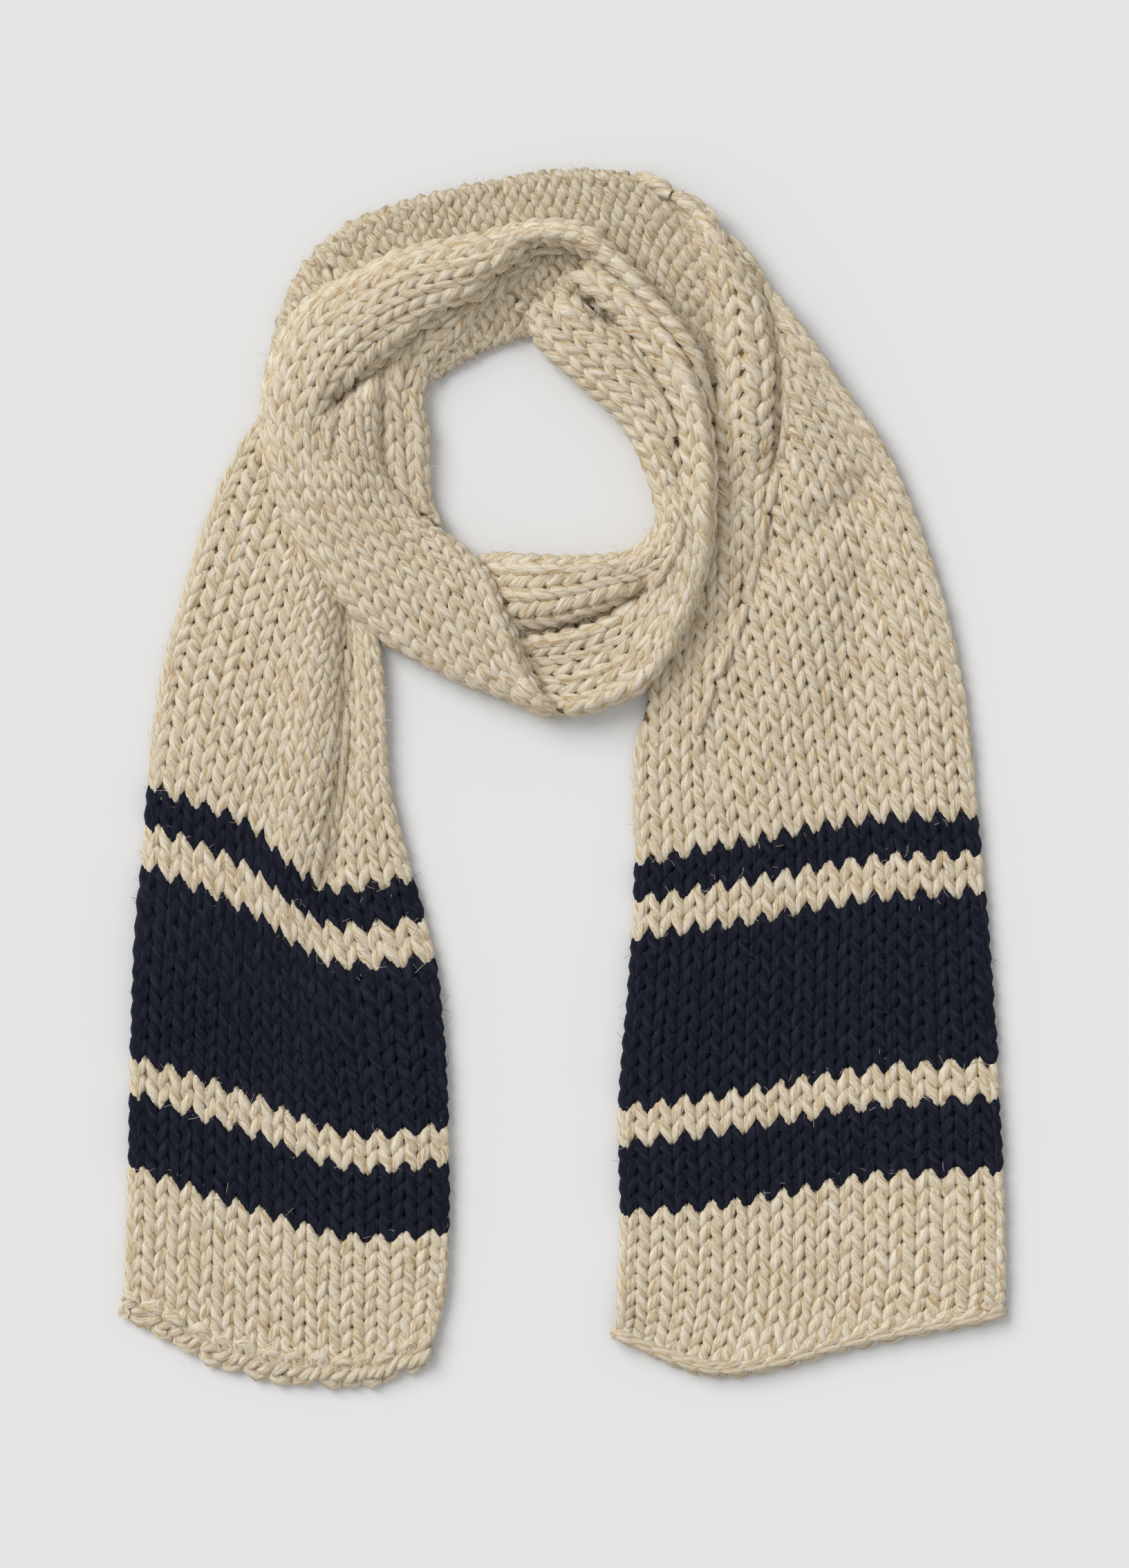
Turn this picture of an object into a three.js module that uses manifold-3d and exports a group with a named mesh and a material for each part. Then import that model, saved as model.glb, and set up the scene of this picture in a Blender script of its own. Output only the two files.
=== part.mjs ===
// Chunky knit scarf, wound once into a ring with two tails, lying flat.
// Units are millimetres, +Z up, and the scarf rests on z = 0.
// Each stretch of the strip is a solid lofted through the sections of one table.
import * as THREE from 'three';
import Module from 'manifold-3d';

const wasm = await Module();
wasm.setup();
const { Manifold, Mesh } = wasm;

// Plan positions in the tables are in chart units, x to the right and y down.
const CHART_UNIT = 0.375;
const CHART_CENTRE_X = 817.4;
const CHART_CENTRE_Y = 1125.2;

const CLOTH = 8; // thickness of one layer of the knitted cloth
const SEAM_GAP = 0.3; // clearance between stretches that lie on each other
const LIFT_START = 1.5; // a fold higher than this above the cloth is hollow beneath
const EDGE_STEPS = 3; // facets of the rounding from a stretch's edge to its top
const END_ROUND = 5; // length of the rounding at a stretch's ends
const ROW_PITCH = 10.4; // one knitted row along the strip
const FACET_TOLERANCE = 0.09; // facets flatter than this are merged

// Sections across the left tail, from the cast-on hem up. Wales 0, 5, 10 and 14.
const TAIL_LEFT = {
  columns: ['row', 'x0', 'y0', 'x5', 'y5', 'x10', 'y10', 'x14', 'y14', 'left', 'middle', 'right'],
  stops: [0, 5 / 14, 10 / 14, 1],
  sections: [
    [0, 178, 1897, 338, 1979, 505, 2007.2, 618, 1974, 8, 8, 8],
    [3, 178, 1836, 340, 1898, 506, 1928, 642, 1893, 9, 8.5, 9],
    [9, 183, 1686, 345, 1742, 508, 1790, 650, 1783, 9, 8.5, 9],
    [15, 186, 1527, 347, 1580, 508, 1640, 650, 1629, 9, 9, 9],
    [20, 192, 1390, 350, 1450, 494, 1520, 643, 1500, 9, 9, 9],
    [24, 203, 1252, 357, 1316, 483, 1394, 630, 1388, 9, 9.5, 9],
    [28, 211, 1135, 358, 1194, 470, 1284, 600, 1272, 9, 11, 9],
    [33, 228, 990, 388, 1056, 489, 1145, 566, 1130, 9, 12, 9],
    [38, 256, 878, 415, 915, 500, 1005, 558, 985, 9, 12, 9],
    [43, 300, 740, 430, 790, 497, 862, 540, 845, 9, 11, 9],
    [47, 338, 652, 440, 690, 480, 730, 530, 735, 9, 9, 8],
    [50, 384, 584, 440, 625, 485, 655, 530, 665, 8, 8, 8],
  ],
};

// Sections across the right tail, from the bound-off hem up to the turn. Wales 0, 5, 11 and 16.
const TAIL_RIGHT = {
  columns: ['row', 'x0', 'y0', 'x5', 'y5', 'x11', 'y11', 'x16', 'y16', 'left', 'middle', 'right'],
  stops: [0, 5 / 16, 11 / 16, 1],
  sections: [
    [0, 889, 1930, 1040, 1982, 1250, 1938, 1452, 1901, 9, 8, 8],
    [3, 890, 1890, 1062, 1900, 1262, 1862, 1457, 1850, 9, 8.5, 9],
    [9, 896, 1757, 1066, 1740, 1265, 1702, 1453, 1694, 9, 8.5, 9],
    [15, 893, 1605, 1061, 1582, 1260, 1547, 1445, 1536, 9, 9, 9],
    [24, 912, 1357, 1072, 1333, 1262, 1299, 1428, 1290, 9, 9, 9],
    [28, 916, 1250, 1075, 1218, 1256, 1186, 1417, 1180, 9, 9, 9],
    [34, 916, 1082, 1064, 1046, 1240, 1015, 1400, 1014, 9, 9.5, 9],
    [40, 957, 915, 1084, 880, 1235, 850, 1366, 862, 9, 11, 10],
    [46, 1020, 735, 1116, 705, 1225, 690, 1318, 712, 10, 14, 12],
    [50, 1040, 620, 1125, 610, 1195, 600, 1260, 610, 12, 17, 14],
    [54, 1043, 500, 1098, 495, 1145, 490, 1187, 505, 15, 20, 16],
    [58, 1023, 390, 1047, 388, 1073, 385, 1098, 391, 17, 22, 16],
    [62, 975, 298, 985, 296, 997, 295, 1009, 296, 15, 20, 14],
    [64, 912, 248, 914, 247, 917, 246, 920, 246, 12, 13, 12],
  ],
};

// Sections across the back band, from the turn leftwards. Outer edge to hidden edge.
const BAND_BACK = {
  columns: ['row', 'outerX', 'outerY', 'innerX', 'innerY', 'outer', 'middle', 'inner'],
  stops: [0, 1],
  sections: [
    [-3, 1000, 302, 1108, 585, 12, 13, 10],
    [0, 930, 256, 1034, 560, 12, 13, 10],
    [4, 860, 244, 985, 500, 12, 13, 10],
    [8, 790, 246, 860, 470, 12, 13, 9],
    [12, 720, 257, 760, 487, 12, 13, 8],
    [16, 650, 272, 690, 513, 12, 13, 8],
    [20, 580, 292, 632, 548, 12, 13, 8],
    [24, 500, 325, 590, 560, 12, 13, 8],
    [28, 440, 382, 545, 565, 11, 12, 8],
    [32, 402, 462, 490, 580, 10, 11, 8],
    [35, 388, 530, 430, 600, 9, 9, 8],
  ],
};

// Sections across the inner left layer, from the top down. Hidden edge to neck hole.
const RING_INNER = {
  columns: ['row', 'hiddenX', 'hiddenY', 'holeX', 'holeY', 'hidden', 'middle', 'hole'],
  stops: [0, 1],
  sections: [
    [0, 765, 350, 786, 400, 18, 18, 16],
    [3, 715, 378, 742, 425, 18, 19, 17],
    [6, 655, 415, 700, 460, 17, 19, 17],
    [9, 605, 450, 664, 500, 16, 19, 16],
    [12, 560, 495, 633, 526, 15, 18, 15],
    [15, 543, 560, 616, 574, 14, 17, 14],
    [18, 543, 630, 623, 625, 14, 17, 14],
    [21, 555, 690, 624, 690, 14, 16, 13],
    [24, 600, 745, 633, 750, 12, 13, 11],
  ],
};

// Sections across the right side and bottom, from beneath the top. Outer edge to neck hole.
const RING_RIGHT = {
  columns: ['row', 'outerX', 'outerY', 'holeX', 'holeY', 'outer', 'middle', 'hole'],
  stops: [0, 1],
  sections: [
    [0, 862, 362, 752, 450, 20, 20, 16],
    [3, 918, 418, 775, 500, 24, 25, 18],
    [7, 975, 480, 836, 558, 26, 27, 20],
    [11, 1018, 572, 892, 608, 27, 28, 21],
    [15, 1036, 660, 929, 675, 27, 29, 21],
    [18, 1034, 740, 947, 738, 27, 28, 21],
    [21, 1024, 820, 938, 772, 26, 27, 20],
    [25, 996, 905, 903, 797, 25, 26, 20],
    [29, 940, 990, 850, 801, 25, 26, 20],
    [32, 880, 1024, 806, 803, 24, 25, 20],
    [35, 822, 1038, 755, 800, 22, 24, 19],
    [38, 765, 1020, 703, 797, 14, 16, 13],
    [40, 730, 985, 680, 810, 10, 11, 10],
  ],
};

// Sections across the top and left side, from the narrow rolled end down to the bottom.
const RING_LEFT = {
  columns: ['row', 'outerX', 'outerY', 'innerX', 'innerY', 'outer', 'middle', 'inner'],
  stops: [0, 1],
  sections: [
    [0, 1043, 606, 1031, 610, 14, 14, 14],
    [4, 1010, 504, 988, 514, 26, 27, 26],
    [8, 930, 401, 906, 424, 29, 31, 29],
    [11, 872, 341, 850, 378, 29, 32, 28],
    [13, 828, 320, 812, 364, 28, 33, 28],
    [15, 760, 322, 765, 368, 27, 33, 28],
    [18, 675, 341, 701, 422, 26, 33, 28],
    [21, 590, 357, 632, 467, 25, 32, 27],
    [24, 520, 392, 592, 497, 24, 31, 26],
    [27, 440, 437, 563, 540, 22, 30, 24],
    [30, 398, 502, 556, 590, 20, 29, 22],
    [33, 376, 590, 555, 640, 18, 28, 22],
    [36, 386, 690, 567, 690, 18, 27, 21],
    [39, 418, 768, 612, 745, 18, 26, 20],
    [42, 474, 852, 662, 780, 18, 26, 20],
    [45, 545, 922, 712, 828, 18, 26, 22],
    [48, 625, 970, 740, 893, 18, 26, 24],
    [51, 710, 1006, 762, 955, 18, 25, 24],
    [53, 770, 1028, 787, 997, 17, 24, 24],
    [55, 820, 1039, 822, 1031, 16, 18, 18],
  ],
};

// Folds: a soft ridge (rise above 0) or groove (below 0) along a path on the chart.
// spread is how wide it is to each side, in millimetres.
const FOLDS = {
  tail_left: [
    { rise: -7, spread: 6, path: [[505, 800], [505, 900], [502, 983], [498, 1100], [489, 1180], [478, 1262]] },
    { rise: 5, spread: 15, path: [[440, 830], [452, 960], [450, 1080], [436, 1180], [420, 1260]] },
    { rise: 1.5, spread: 14, path: [[540, 900], [540, 1060], [545, 1200], [540, 1300]] },
    { rise: -1.5, spread: 16, path: [[470, 1300], [440, 1400], [400, 1520]] },
    { rise: 1.5, spread: 22, path: [[230, 1500], [260, 1300], [290, 1120]] },
    { rise: 1.5, spread: 20, path: [[560, 1450], [580, 1650], [570, 1800]] },
    { rise: 2, spread: 10, path: [[200, 1930], [350, 1975], [500, 1995], [630, 1950]] },
  ],
  tail_right: [
    { rise: -8, spread: 6, path: [[1100, 390], [1116, 450], [1128, 530], [1128, 610], [1122, 680]] },
    { rise: -3, spread: 9, path: [[1122, 680], [1112, 760], [1086, 840]] },
    { rise: -3.5, spread: 9, path: [[1246, 705], [1153, 784], [1063, 870], [994, 959]] },
    { rise: 4, spread: 9, path: [[1035, 340], [1070, 430], [1083, 540], [1082, 640]] },
    { rise: -3, spread: 12, path: [[1246, 690], [1252, 800], [1238, 921], [1232, 1036]] },
    { rise: 2, spread: 16, path: [[1170, 720], [1165, 880], [1130, 1020], [1080, 1130]] },
    { rise: 2, spread: 16, path: [[1320, 880], [1325, 1050], [1340, 1240]] },
    { rise: 1.5, spread: 20, path: [[960, 1330], [985, 1500], [990, 1700]] },
    { rise: -1.5, spread: 20, path: [[1180, 1250], [1160, 1450], [1150, 1650]] },
    { rise: 4, spread: 8, path: [[890, 1890], [893, 1935], [915, 1960]] },
    { rise: 2, spread: 9, path: [[915, 1960], [1060, 1975], [1250, 1935], [1440, 1905]] },
  ],
  band_back: [
    { rise: -2, spread: 9, path: [[960, 350], [900, 290], [820, 268], [720, 280], [600, 312], [500, 360]] },
    { rise: 1.5, spread: 10, path: [[1000, 430], [930, 360], [860, 320], [800, 306]] },
  ],
  ring_inner: [
    { rise: -4, spread: 6, path: [[600, 520], [588, 580], [586, 640], [598, 700]] },
  ],
  ring_right: [
    { rise: -9, spread: 6, path: [[800, 405], [850, 435], [890, 470]] },
    { rise: -6, spread: 8, path: [[890, 470], [940, 540], [975, 620], [987, 700]] },
    { rise: 2, spread: 7, path: [[930, 430], [990, 530], [1018, 640], [1014, 740]] },
    { rise: -12, spread: 5, path: [[750, 914], [800, 909], [850, 895], [900, 873], [940, 848]] },
    { rise: -11, spread: 20, path: [[785, 950], [850, 935], [895, 905], [925, 870]] },
    { rise: 3, spread: 12, path: [[760, 860], [830, 850], [890, 830], [930, 800]] },
  ],
  ring_left: [
    { rise: -11, spread: 5, path: [[600, 508], [560, 532], [528, 552], [505, 568], [488, 584]] },
    { rise: -4, spread: 9, path: [[488, 584], [474, 615], [464, 655]] },
    { rise: 2, spread: 10, path: [[700, 372], [600, 420], [500, 490], [440, 570]] },
    { rise: -2.5, spread: 12, path: [[545, 640], [560, 720], [600, 790]] },
    { rise: 2, spread: 8, path: [[716, 850], [745, 920], [775, 985]] },
  ],
};

const chartX = (x) => (x - CHART_CENTRE_X) * CHART_UNIT;
const chartY = (y) => (CHART_CENTRE_Y - y) * CHART_UNIT;

// Value of a smooth curve through (knots[i], values[i]) at t.
function smooth(knots, values, t) {
  const last = knots.length - 1;
  let i = 0;
  while (i < last - 1 && t > knots[i + 1]) i += 1;
  const slope = (j) => {
    const before = Math.max(j - 1, 0);
    const after = Math.min(j + 1, last);
    return (values[after] - values[before]) / (knots[after] - knots[before]);
  };
  const span = knots[i + 1] - knots[i];
  const f = (t - knots[i]) / span;
  const f2 = f * f;
  const f3 = f2 * f;
  return values[i] * (2 * f3 - 3 * f2 + 1) + values[i + 1] * (3 * f2 - 2 * f3)
    + slope(i) * span * (f3 - 2 * f2 + f) + slope(i + 1) * span * (f3 - f2);
}

// Section at a row: points across in millimetres and the three heights.
function sectionAt(stretch, row) {
  const rows = stretch.sections.map((s) => s[0]);
  const column = (j) => smooth(rows, stretch.sections.map((s) => s[j]), row);
  const points = stretch.stops.map((_, j) => ({
    x: chartX(column(1 + 2 * j)),
    y: chartY(column(2 + 2 * j)),
  }));
  const first = 1 + 2 * stretch.stops.length;
  let width = 0;
  for (let j = 1; j < points.length; j += 1) {
    width += Math.hypot(points[j].x - points[j - 1].x, points[j].y - points[j - 1].y);
  }
  return { points, heights: [column(first), column(first + 1), column(first + 2)], width };
}

function distanceToPath(x, y, path) {
  let nearest = Infinity;
  for (let i = 1; i < path.length; i += 1) {
    const ax = chartX(path[i - 1][0]);
    const ay = chartY(path[i - 1][1]);
    const dx = chartX(path[i][0]) - ax;
    const dy = chartY(path[i][1]) - ay;
    const f = ((x - ax) * dx + (y - ay) * dy) / (dx * dx + dy * dy);
    const g = Math.min(Math.max(f, 0), 1);
    nearest = Math.min(nearest, Math.hypot(x - ax - g * dx, y - ay - g * dy));
  }
  return nearest;
}

function foldRise(name, x, y) {
  let rise = 0;
  for (const fold of FOLDS[name]) {
    rise += fold.rise * Math.exp(-((distanceToPath(x, y, fold.path) / fold.spread) ** 2));
  }
  return rise;
}

// One closed ring of points round a section, top from edge to edge and back along the underside.
function ringAt(name, stretch, row, options) {
  const { heap, across, grow, squash } = options;
  const section = sectionAt(stretch, row);
  const edgeRoll = Math.min(heap ? 11 : CLOTH * 0.6, section.width * 0.45);
  const edge = [];
  for (let i = 0; i <= EDGE_STEPS; i += 1) {
    const angle = (i / EDGE_STEPS) * Math.PI / 2;
    edge.push({ t: edgeRoll * (1 - Math.cos(angle)) / section.width, fullness: Math.sin(angle) });
  }
  const inner = edge[EDGE_STEPS].t;
  const stations = [...edge];
  for (let i = 1; i < across; i += 1) {
    stations.push({ t: inner + (1 - 2 * inner) * (i / across), fullness: 1 });
  }
  for (let i = EDGE_STEPS; i >= 0; i -= 1) stations.push({ t: 1 - edge[i].t, fullness: edge[i].fullness });

  const spread = 1 + 2 * grow / section.width;
  const top = [];
  const under = [];
  for (const { t, fullness } of stations) {
    const w = 0.5 + (t - 0.5) * spread;
    const x = smooth(stretch.stops, section.points.map((p) => p.x), w);
    const y = smooth(stretch.stops, section.points.map((p) => p.y), w);
    const crest = smooth([0, 0.5, 1], section.heights, w) + foldRise(name, x, y);
    const lift = heap ? 0 : Math.max(0, crest - CLOTH - LIFT_START);
    const half = (crest - lift) / 2;
    const middle = lift + half;
    const reach = (half + grow) * fullness * squash;
    top.push([x, y, middle + reach]);
    under.push([x, y, Math.max(middle - reach, -grow)]);
  }
  return [...top, ...under.slice(1, -1).reverse()];
}

// Closed solid through the rings of a stretch, its ends rounded over.
function loft(name, stretch, { heap = true, rings = 24, across = 8, grow = 0 } = {}) {
  const rows = stretch.sections.map((s) => s[0]);
  const first = rows[0] - grow / ROW_PITCH;
  const last = rows[rows.length - 1] + grow / ROW_PITCH;
  const round = END_ROUND / ROW_PITCH;
  const stations = [];
  for (const angle of [8, 35, 62]) {
    const a = angle * Math.PI / 180;
    stations.push({ offset: round * (1 - Math.cos(a)), squash: Math.sin(a) });
  }
  const plan = stations.map((s) => ({ row: first + s.offset, squash: s.squash }));
  for (let i = 0; i <= rings; i += 1) {
    plan.push({ row: first + round + (last - first - 2 * round) * (i / rings), squash: 1 });
  }
  for (const s of [...stations].reverse()) plan.push({ row: last - s.offset, squash: s.squash });

  const loops = plan.map(({ row, squash }) => ringAt(name, stretch, row, { heap, across, grow, squash }));
  const count = loops[0].length;
  const half = count / 2;
  const positions = loops.flat(2);
  const faces = [];
  for (let i = 0; i + 1 < loops.length; i += 1) {
    for (let k = 0; k < count; k += 1) {
      const a = i * count + k;
      const b = i * count + ((k + 1) % count);
      faces.push([a, b, b + count], [a, b + count, a + count]);
    }
  }
  const capEnd = (start, flip) => {
    const opposite = (k) => (k === 0 || k === half ? k : count - k);
    for (let k = 0; k < half; k += 1) {
      const corners = [k, k + 1, opposite(k + 1), opposite(k)].map((c) => start + c);
      for (const face of [[0, 1, 2], [0, 2, 3]]) {
        const tri = face.map((f) => corners[f]);
        if (new Set(tri).size === 3) faces.push(flip ? tri : tri.reverse());
      }
    }
  };
  capEnd(0, false);
  capEnd((loops.length - 1) * count, true);
  return toManifold(positions, faces);
}

function toManifold(positions, faces) {
  const build = (list) => new Manifold(new Mesh({
    numProp: 3,
    vertProperties: new Float32Array(positions),
    triVerts: new Uint32Array(list.flat()),
  }));
  const solid = build(faces);
  if (solid.volume() > 0) return solid;
  return build(faces.map((f) => [f[0], f[2], f[1]]));
}

// Largest single body of a solid, with near-flat facets merged.
function mainBody(solid) {
  const bodies = solid.simplify(FACET_TOLERANCE).decompose();
  return bodies.reduce((best, body) => (body.volume() > best.volume() ? body : best));
}

const STRETCHES = {
  tail_left: { table: TAIL_LEFT, heap: false, rings: 30, across: 16 },
  tail_right: { table: TAIL_RIGHT, heap: false, rings: 38, across: 16 },
  band_back: { table: BAND_BACK, heap: true, rings: 20, across: 7 },
  ring_right: { table: RING_RIGHT, heap: true, rings: 30, across: 11 },
  ring_inner: { table: RING_INNER, heap: true, rings: 14, across: 5 },
  ring_left: { table: RING_LEFT, heap: true, rings: 36, across: 10 },
};

// What lies beneath each stretch, cut out of it with the seam gap.
const BENEATH = {
  tail_left: [],
  tail_right: [],
  band_back: ['tail_right'],
  ring_right: ['tail_right', 'band_back'],
  ring_inner: ['band_back', 'ring_right'],
  ring_left: ['tail_left', 'tail_right', 'band_back', 'ring_right', 'ring_inner'],
};

const CREAM = '#e2d5bc';
const WOOL_ROUGHNESS = 0.95;

function stretchSolid(name) {
  const { table, ...options } = STRETCHES[name];
  let solid = loft(name, table, options);
  for (const lower of BENEATH[name]) {
    const { table: lowerTable, ...lowerOptions } = STRETCHES[lower];
    solid = solid.subtract(loft(lower, lowerTable, { ...lowerOptions, grow: SEAM_GAP }));
  }
  return mainBody(solid);
}

function toGeometry(solid) {
  const mesh = solid.getMesh();
  const positions = new Float32Array(mesh.numVert * 3);
  for (let i = 0; i < mesh.numVert; i += 1) {
    for (let axis = 0; axis < 3; axis += 1) {
      positions[3 * i + axis] = mesh.vertProperties[i * mesh.numProp + axis];
    }
  }
  const geometry = new THREE.BufferGeometry();
  geometry.setAttribute('position', new THREE.BufferAttribute(positions, 3));
  geometry.setIndex(new THREE.BufferAttribute(new Uint32Array(mesh.triVerts), 1));
  geometry.computeVertexNormals();
  return geometry;
}

const group = new THREE.Group();
group.name = 'knit_scarf';
for (const name of Object.keys(STRETCHES)) {
  const material = new THREE.MeshStandardMaterial({ color: CREAM, roughness: WOOL_ROUGHNESS, metalness: 0 });
  material.name = 'cream wool yarn';
  const piece = new THREE.Mesh(toGeometry(stretchSolid(name)), material);
  piece.name = name;
  group.add(piece);
}

export default group;
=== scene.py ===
import math

import bpy
import numpy as np
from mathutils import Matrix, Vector


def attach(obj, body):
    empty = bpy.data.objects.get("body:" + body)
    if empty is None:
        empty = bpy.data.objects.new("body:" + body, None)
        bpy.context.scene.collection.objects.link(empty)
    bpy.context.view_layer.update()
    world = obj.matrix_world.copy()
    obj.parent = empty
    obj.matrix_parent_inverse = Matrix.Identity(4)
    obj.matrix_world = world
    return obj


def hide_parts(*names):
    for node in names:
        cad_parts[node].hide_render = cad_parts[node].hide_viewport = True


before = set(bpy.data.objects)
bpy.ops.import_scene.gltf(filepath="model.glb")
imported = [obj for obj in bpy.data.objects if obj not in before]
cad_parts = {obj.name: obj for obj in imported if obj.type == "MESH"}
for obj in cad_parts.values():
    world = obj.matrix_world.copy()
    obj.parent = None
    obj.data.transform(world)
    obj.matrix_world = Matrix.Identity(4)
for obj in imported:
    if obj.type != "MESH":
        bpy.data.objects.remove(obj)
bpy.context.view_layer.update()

# --- Left tail ---
# The cast-on end of the strip, knit side up: one layer of super chunky stockinette,
# 14 wales showing. It runs up beneath the ring, with a deep crease on its way.
# A chart unit, and the chart's point that lies at the frame's origin.
CHART_UNIT = 0.375e-3
CHART_CENTRE = (817.4, 1125.2)
# A layer's thickness, how far it lifts before air shows beneath, and its ends' rounding.
CLOTH = 8e-3
LIFT_START = 1.5e-3
END_ROUND = 5e-3
# A knitted row's height and a wale's width. Past an edge the wales lie a little closer.
ROW = 10.4e-3
WALE = 12.8e-3
UNDER_SHARE = 0.9
# The rolled edges: their radius on a heap and on one layer, its largest share of the
# width, and how far round them the cloth turns under, in radians.
HEAP_ROLL = 8e-3
LAYER_ROLL = CLOTH * 0.6
ROLL_SHARE = 0.45
ROLL_UNDER = 1.4
TINY = 1e-12

TAIL_LEFT = {
    "name": "tail_left",
    "heap": False,
    "vee": 1,
    "side": 1,
    "stops": [0, 5 / 14, 10 / 14, 1],
    # row, x and y of wales 0, 5, 10 and 14 on the chart, heights left, middle and right
    "sections": [
        [0, 178, 1892, 338, 1973, 505, 1996, 618, 1968, 8, 8, 8],
        [3, 178, 1836, 340, 1898, 506, 1928, 642, 1893, 9, 8.5, 9],
        [9, 183, 1686, 345, 1742, 508, 1790, 650, 1783, 9, 8.5, 9],
        [15, 186, 1527, 347, 1580, 508, 1640, 650, 1629, 9, 9, 9],
        [20, 192, 1390, 350, 1450, 494, 1520, 643, 1500, 9, 9, 9],
        [24, 203, 1252, 357, 1316, 483, 1394, 630, 1388, 9, 9.5, 9],
        [28, 211, 1135, 358, 1194, 470, 1284, 600, 1272, 9, 11, 9],
        [33, 228, 990, 388, 1056, 489, 1145, 566, 1130, 9, 12, 9],
        [38, 256, 878, 415, 915, 500, 1005, 558, 985, 9, 12, 9],
        [43, 300, 740, 430, 790, 497, 862, 540, 845, 9, 11, 9],
        [47, 338, 652, 440, 690, 480, 730, 530, 735, 9, 9, 8],
        [50, 384, 584, 440, 625, 485, 655, 530, 665, 8, 8, 8],
    ],
    # row, the wales at the left edge, just before and after the crease and at the right
    # edge, and how far across the crease lies
    "wales": [
        [0, 0, 10, 10, 14, 0.714],
        [28, 0, 10, 10, 14, 0.714],
        [33, 0, 9.6, 10.4, 14, 0.714],
        [38, 0, 9.0, 10.8, 14, 0.714],
        [43, 0, 7.6, 11.2, 14, 0.714],
        [50, 0, 6.0, 11.4, 14, 0.714],
    ],
    # rise and spread in millimetres, then the fold's path on the chart
    "folds": [
        (-7, 6, [(505, 800), (505, 900), (502, 983), (498, 1100), (489, 1180), (478, 1262)]),
        (5, 15, [(440, 830), (452, 960), (450, 1080), (436, 1180), (420, 1260)]),
        (1.5, 14, [(540, 900), (540, 1060), (545, 1200), (540, 1300)]),
        (-1.5, 16, [(470, 1300), (440, 1400), (400, 1520)]),
        (1.5, 22, [(230, 1500), (260, 1300), (290, 1120)]),
        (1.5, 20, [(560, 1450), (580, 1650), (570, 1800)]),
        (2, 10, [(200, 1930), (350, 1975), (500, 1995), (630, 1950)]),
    ],
}

# The ring's left side and top lie over this tail, so their table stands here too.
RING_LEFT = {
    "name": "ring_left",
    "heap": True,
    "vee": -1,
    "side": -1,
    "stops": [0, 1],
    # row, outer x and y, inner x and y, heights outer, middle and inner
    "sections": [
        [0, 1043, 606, 1031, 610, 10, 10, 10],
        [4, 1010, 504, 988, 514, 26, 27, 26],
        [8, 930, 401, 906, 424, 29, 31, 29],
        [11, 872, 341, 850, 378, 29, 32, 28],
        [13, 828, 320, 812, 364, 28, 33, 28],
        [15, 760, 322, 765, 368, 27, 33, 28],
        [18, 675, 341, 701, 422, 26, 33, 28],
        [21, 590, 357, 632, 467, 25, 32, 27],
        [24, 520, 392, 592, 497, 24, 31, 26],
        [27, 440, 437, 563, 540, 22, 30, 24],
        [30, 398, 502, 556, 590, 20, 29, 22],
        [33, 376, 590, 555, 640, 18, 28, 22],
        [36, 386, 690, 567, 690, 18, 27, 21],
        [39, 418, 768, 612, 745, 18, 26, 20],
        [42, 474, 852, 662, 780, 18, 26, 20],
        [45, 545, 922, 712, 828, 18, 26, 22],
        [48, 625, 970, 740, 893, 18, 26, 24],
        [51, 710, 1006, 762, 955, 18, 25, 24],
        [53, 770, 1028, 787, 997, 17, 24, 24],
        [55, 820, 1039, 822, 1031, 16, 18, 18],
    ],
    # row, the wales at the outer edge, just before and after the fold that hides some, at
    # the inner edge, and how far across the fold lies
    "wales": [
        [0, 0, 1.2, 8.9, 9, 0.97],
        [8, 0, 1.5, 8.9, 9, 0.97],
        [11, 0, 1.8, 8.9, 9, 0.97],
        [15, 0, 2.6, 8.9, 9, 0.97],
        [18, 0, 3.6, 8.9, 9, 0.97],
        [21, 0, 4.6, 8.9, 9, 0.97],
        [24, 0, 5.0, 8.9, 9, 0.96],
        [27, 0, 5.0, 8.2, 9, 0.87],
        [30, 0, 4.9, 6.8, 9, 0.71],
        [33, 0, 4.6, 5.4, 9, 0.56],
        [36, 0, 4.6, 4.6, 9, 0.50],
        [39, 0.8, 5.5, 5.5, 10.2, 0.50],
        [42, 1.8, 6.5, 6.5, 11.2, 0.50],
        [45, 3.4, 7.8, 7.8, 12.2, 0.50],
        [48, 5.7, 9.0, 9.0, 12.3, 0.50],
        [51, 8.3, 10.3, 10.3, 12.3, 0.50],
        [53, 10.0, 11.15, 11.15, 12.3, 0.50],
        [55, 11.5, 11.9, 11.9, 12.3, 0.50],
    ],
    "folds": [
        (-15, 5, [(600, 508), (560, 532), (528, 552), (505, 568), (488, 584)]),
        (-4, 9, [(488, 584), (474, 615), (464, 655)]),
        (2, 10, [(700, 372), (600, 420), (500, 490), (440, 570)]),
        (-2.5, 12, [(545, 640), (560, 720), (600, 790)]),
        (2, 8, [(716, 850), (745, 920), (775, 985)]),
    ],
}


def blend(a, b, slope_a, slope_b, span, f):
    """The cubic from a to b that leaves and arrives at these slopes."""
    return (
        a * (2 * f**3 - 3 * f**2 + 1)
        + b * (3 * f**2 - 2 * f**3)
        + slope_a * span * (f**3 - 2 * f**2 + f)
        + slope_b * span * (f**3 - f**2)
    )


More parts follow.
